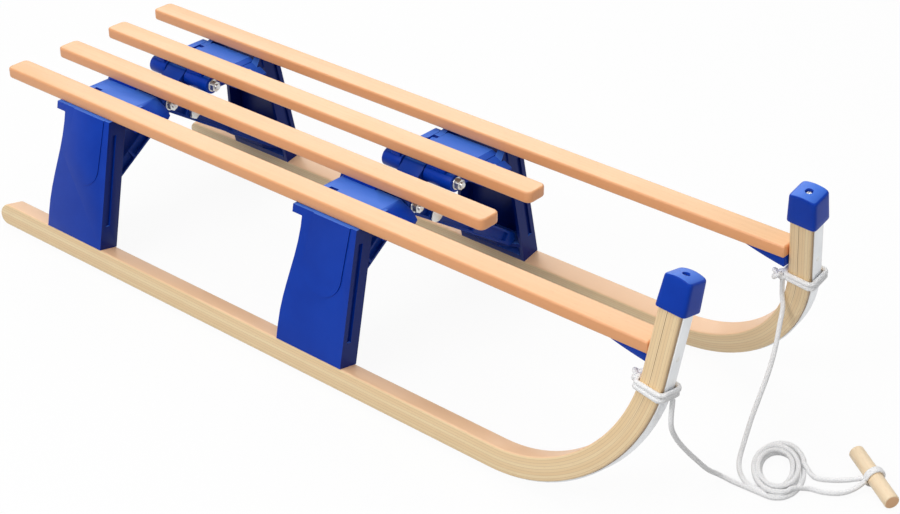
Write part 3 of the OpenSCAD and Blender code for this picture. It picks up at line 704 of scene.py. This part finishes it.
# %% Runners
def runner(label, side):
    """A rounded square section at each distance along the runner. Over the round rear end its height follows a
    half circle about the middle of the runner."""
    rear, end_r = 5.0, 14.0
    turned_in = np.linspace(0.08, math.pi / 2, 10)
    tip = rear + end_r * (1 - np.cos(turned_in))
    x = np.concatenate([tip, np.linspace(rear + end_r + 8, straight_l, 24)[:-1]])
    s = np.concatenate([x - straight_l, np.linspace(0, horn_s, 60), horn_s + np.linspace(6, horn_l, 8)])
    high = np.concatenate([np.sin(turned_in), np.ones(len(s) - 10)])[:, None]
    section = rounded_outline(band_t, runner_all, 0, runner_w, 2.6, 2.6, 5)
    v = 16 + (section[:, 0] - 16) * high
    o = np.broadcast_to(section[:, 1], v.shape)
    rings = on_bend(s[:, None], v, o, side)
    place = np.stack([np.broadcast_to(s[:, None], v.shape), v - band_t, o + 40 * side], -1) * MM
    piece = build(f"{label}_bent_runner", rings, place, smooth_angle=35)
    return dress(piece, f"{label}_frame", runner_wood, "runner_wood", f"{label}_runner")


for label, side in SIDES.items():
    print(runner(label, side).name)

# %% [markdown]
# ## Horn caps
# A cap is a slightly tapering block with soft corners, an arched top and a round recess for its screw. The section
# is a squircle, which is a circle with a higher power, and over the top it turns into the recess's circle.

# %% Horn caps
def cap(label, side):
    """Sections up the horn: nearly full size along the sides, drawn in over the top, round at the recess and down
    it. The top is an arch: its height falls with the square of the distance from the horn's middle."""
    angle = np.linspace(0, 2 * math.pi, 96, endpoint=False)
    share = np.array([0.985, 1, 1, 1, 1, 1, 0.99, 0.965, 0.93, 0.84, 0.72, 0.58, 0.45, 0.36, 0.33, 0.32, 0.32, 0.32])
    up = np.array([0, 0.03, 0.25, 0.5, 0.8, 0.93, 0.968, 0.992, 1, 1, 1, 1, 1, 1, 0.99, 0.96, 0.9, 0.82])
    roundness = np.clip((0.75 - share) / 0.42, 0, 1)
    half_v = 19 - 1.6 * np.clip(up, 0, 1)
    half_o = 16.5 - 1.0 * np.clip(up, 0, 1)
    n = 9.0
    reach = (((np.abs(np.cos(angle)) / half_v[:, None]) ** n + (np.abs(np.sin(angle)) / half_o[:, None]) ** n)
             ** (-1 / n)) * share[:, None]
    r = reach * (1 - roundness[:, None]) + 4.25 * np.clip(share[:, None] / 0.33, 1, 3) * roundness[:, None]
    r = np.where(share[:, None] <= 0.33, 4.25, r)
    v, o = r * np.cos(angle), r * np.sin(angle)
    top = 36 + 3.5 * (1 - (v / 18) ** 2)
    rings = on_bend(horn_s + 74 + up[:, None] * top, runner_all / 2 + v, runner_w / 2 + o, side)
    piece = build(f"{label}_horn_cap", rings, smooth_angle=30)
    return dress(piece, f"{label}_frame", blue_plastic, "blue_plastic", f"{label}_cap")


for label, side in SIDES.items():
    print(cap(label, side).name)

# %% [markdown]
# ## Moulded pieces and hardware
# The legs, arms, braces and bolts already have their exact shape in the model. Real mouldings never have sharp
# edges, so each one is copied, its loose triangles are merged into whole faces, and a narrow bevel rounds its
# edges. The bevel catches the light as the real edges do.

# %% Softened copies of the model's own pieces
def trim_leg(shape):
    """Small changes to a leg's copy: the webs over its lugs stay under the pads' level, the front lug follows
    the pads' bevel, and the ledge for the brace's foot ends short of the leg's front."""
    front = max(point.co.x for point in shape.verts)
    for point in shape.verts:
        x, y, z = point.co
        if abs(abs(y) - 0.1125) < 0.0003 and z > 0.205:
            point.co.z = z = 0.2009
        if abs(abs(y) - 0.101) < 0.0003 and z > 0.197:
            point.co.y, point.co.z = math.copysign(0.1015, y), 0.2009
            z = 0.2009
        if abs(y) < 0.1128 and z > 0.19 and x > front - 0.04:
            point.co.z = min(z, 0.2006 - 0.0152 * (x - front + 0.02) / 0.031)
        if z < 0.12 and abs(y) < 0.1246 + (0.189 - z) * math.tan(lean) - 0.0015:
            point.co.x = min(x, front - 0.03)


def softened(node, width, segments=2, angle=22.0):
    """A merged copy of a CAD node with its edges rounded by a bevel of the given width in millimetres."""
    source = frame["nodes"][node].data
    shape = bmesh.new()
    shape.from_mesh(source)
    bmesh.ops.remove_doubles(shape, verts=shape.verts, dist=0.00001)
    bmesh.ops.dissolve_limit(shape, angle_limit=math.radians(1.0), verts=shape.verts, edges=shape.edges)
    if node.endswith("leg"):
        trim_leg(shape)
    mesh = bpy.data.meshes.new(node + "_soft")
    shape.to_mesh(mesh)
    shape.free()
    for attribute in list(mesh.attributes):
        if attribute.name in ("custom_normal", "sharp_edge", "sharp_face"):
            mesh.attributes.remove(attribute)
    piece = bpy.data.objects.new(node + "_soft", mesh)
    bpy.context.scene.collection.objects.link(piece)
    edge = piece.modifiers.new("edge", "BEVEL")
    edge.width = width * MM
    edge.segments = segments
    edge.limit_method = "ANGLE"
    edge.angle_limit = math.radians(angle)
    edge.use_clamp_overlap = True
    shown = piece.evaluated_get(bpy.context.evaluated_depsgraph_get())
    piece.data = bpy.data.meshes.new_from_object(shown)
    piece.modifiers.clear()
    # Every point of a leg is marked, so that the finish paints shade on the leg's fronts and insides.
    if node.endswith("leg"):
        mark = piece.data.attributes.new("marked_side", "FLOAT", "POINT")
        mark.data.foreach_set("value", np.ones(len(piece.data.vertices), np.float32))
    finish_mesh(piece.data, 24)
    return piece


plain = {"leg": (1.2, blue_plastic, "blue_plastic"), "arm": (1.2, blue_plastic, "blue_plastic"),
         "slat_bracket": (1.0, blue_plastic, "blue_plastic"), "brace": (0.9, brace_plastic, "brace_plastic"),
         "bolt": (0.4, zinc_finish, "zinc_hardware"), "pin": (0.4, zinc_finish, "zinc_hardware"),
         "cap_screw": (0.3, zinc_finish, "zinc_hardware"), "steel_band": (0.4, steel_finish, "steel_band")}
for node, cad in sorted(frame["nodes"].items()):
    kinds = [k for k in plain if node.endswith(k) or f"_{k}_to" in node]
    if kinds:
        width, finish, slot = plain[kinds[-1]]
        dress(softened(node, width), cad["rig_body"], finish, slot, node)
print("softened", len([n for n in frame["nodes"] if any(n.endswith(k) or f"_{k}_to" in n for k in plain)]), "nodes")

# %% [markdown]
# ## Pads
# The arms' plates reach outwards over the hinge pins to the outer slats, with gaps where the legs' lugs stand. Each
# stretch of a plate is its side view, with the long front bevel, carried across the sled.

# %% Pads over the hinge pins
def pad(name, side, leg_x, x0, x1):
    """The plate's side view between x0 and x1, from the leg's rear edge: flat on top up to 87 mm and then sloping
    down to the front. It is carried outwards from the plate's edge to the outer slat, and its outer edge is rounded."""
    x = np.array([x0, min(max(87.0, x0), x1), x1])
    top = 201.03 - 15.2 * np.clip((x - 87) / 31, 0, 1)
    low = np.minimum(195.2, top - 3)
    edge = np.column_stack([np.concatenate([x, x[::-1]]), np.concatenate([top, low[::-1]])])
    keep = np.concatenate([[True], np.linalg.norm(np.diff(edge, axis=0), axis=1) > 0.01])
    edge = edge[keep]
    mid = edge.mean(0)
    y = np.array([89.5, 117.2, 118.0])
    size = np.array([1.0, 1.0, 0.0])
    shrink = 1 - 0.8 * (1 - size[:, None]) / np.maximum(np.abs(edge - mid).max(0), 1.0)[None, :]
    xz = mid + (edge - mid)[None] * shrink[:, None, :]
    rings = np.stack([xz[..., 0] + leg_x - mid_x, np.broadcast_to(side * y[:, None], xz.shape[:2]), xz[..., 1]], -1)
    return build(name, rings * MM, smooth_angle=20)


for label, side in SIDES.items():
    for end, leg_x in (("rear", 105.0), ("front", 540.0)):
        for n, (x0, x1) in enumerate([(-7, 3.5), (13.5, 94.5), (105.5, 118)]):
            dress(pad(f"{label}_{end}_pad_{n}", side, leg_x, x0, x1), f"{label}_arms", blue_plastic, "blue_plastic")
print("pads laid over the hinge pins")

# %% [markdown]
# ## Screws on the bands
# A small countersunk screw holds each steel band to its horn. Its head is a low turned dome, only 6 mm wide, with no
# cross-shaped dip.

# %% Screws on the bands
def band_screw(label, side):
    """Circles that shrink with height like a flat dome, standing on the band's front face."""
    angle = np.linspace(0, 2 * math.pi, 24, endpoint=False)
    radius = np.array([3.2, 3.2, 2.9, 2.2, 1.1, 0.5])[:, None]
    rise_out = np.array([0.6, -0.05, -0.3, -0.5, -0.45, -0.25])[:, None]
    s = horn_s + 22 + radius * np.cos(angle)
    o = runner_w / 2 + radius * np.sin(angle)
    return build(f"{label}_band_screw", on_bend(s, np.broadcast_to(rise_out, s.shape), o, side), smooth_angle=50)


for label, side in SIDES.items():
    dress(band_screw(label, side), f"{label}_frame", zinc_finish, "zinc_hardware")
print("band screws set")

# %% [markdown]
# ## Floor, light and background
# The photograph has an even white ground and soft light from above. A big lamp overhead and two weaker ones at the
# sides give soft gradients, and the world looks white only to the camera and in reflections.

# %% Floor
floor_mesh = bpy.data.meshes.new("floor")
floor_mesh.from_pydata([(-9, -9, -0.0006), (9, -9, -0.0006), (9, 9, -0.0006), (-9, 9, -0.0006)], [], [(0, 1, 2, 3)])
floor = bpy.data.objects.new("floor", floor_mesh)
bpy.context.scene.collection.objects.link(floor)
floor_finish = bpy.data.materials.new("floor")
floor_finish.use_nodes = True
tree = floor_finish.node_tree
tree.nodes.clear()
seen = wire(tree, "ShaderNodeLightPath")
pale = wire(tree, "ShaderNodeBsdfDiffuse")
glow = wire(tree, "ShaderNodeEmission")
glow.inputs["Color"].default_value = (1, 1, 1, 1)
blend = wire(tree, "ShaderNodeMixShader")
looked = maths(tree, "MAXIMUM", seen.outputs["Is Camera Ray"],
               maths(tree, "MAXIMUM", seen.outputs["Is Glossy Ray"], seen.outputs["Is Transmission Ray"]))
tree.links.new(mixed(tree, looked, (0.5, 0.5, 0.5, 1), (0.92, 0.92, 0.92, 1)), pale.inputs["Color"])
tree.links.new(maths(tree, "MULTIPLY", looked, 0.93), blend.inputs["Fac"])
tree.links.new(pale.outputs[0], blend.inputs[1])
tree.links.new(glow.outputs[0], blend.inputs[2])
tree.links.new(blend.outputs[0], wire(tree, "ShaderNodeOutputMaterial").inputs["Surface"])
floor_mesh.materials.append(floor_finish)
print("floor laid")


# %% Lamps and world
def lamp(name, place, aim, size, power):
    """A square area lamp that faces a point."""
    data = bpy.data.lights.new(name, "AREA")
    data.size = size
    data.energy = power
    light = bpy.data.objects.new(name, data)
    light.location = place
    from mathutils import Vector
    light.rotation_euler = (Vector(aim) - Vector(place)).to_track_quat("-Z", "Y").to_euler()
    bpy.context.scene.collection.objects.link(light)


lamp("overhead", (0.1, -0.3, 2.6), (0.1, 0, 0), 2.0, 22)
lamp("behind", (-1.7, 1.9, 2.2), (0, 0, 0.15), 2.4, 38)
lamp("near_side", (-0.2, -2.6, 2.3), (0, 0, 0.1), 1.6, 42)
lamp("front", (2.7, -0.9, 1.3), (0.2, 0, 0.1), 1.4, 8)

world_finish = bpy.data.worlds.new("studio")
bpy.context.scene.world = world_finish
world_finish.use_nodes = True
tree = world_finish.node_tree
tree.nodes.clear()
seen = wire(tree, "ShaderNodeLightPath")
looked = maths(tree, "MAXIMUM", seen.outputs["Is Camera Ray"],
               maths(tree, "MAXIMUM", seen.outputs["Is Glossy Ray"], seen.outputs["Is Transmission Ray"]))
air = wire(tree, "ShaderNodeBackground")
air.inputs["Color"].default_value = (1, 1, 1, 1)
tree.links.new(maths(tree, "MULTIPLY_ADD", looked, 0.7, 0.3), air.inputs["Strength"])
tree.links.new(air.outputs[0], wire(tree, "ShaderNodeOutputWorld").inputs["Surface"])
bpy.context.scene.view_settings.view_transform = "Standard"
print("lit")
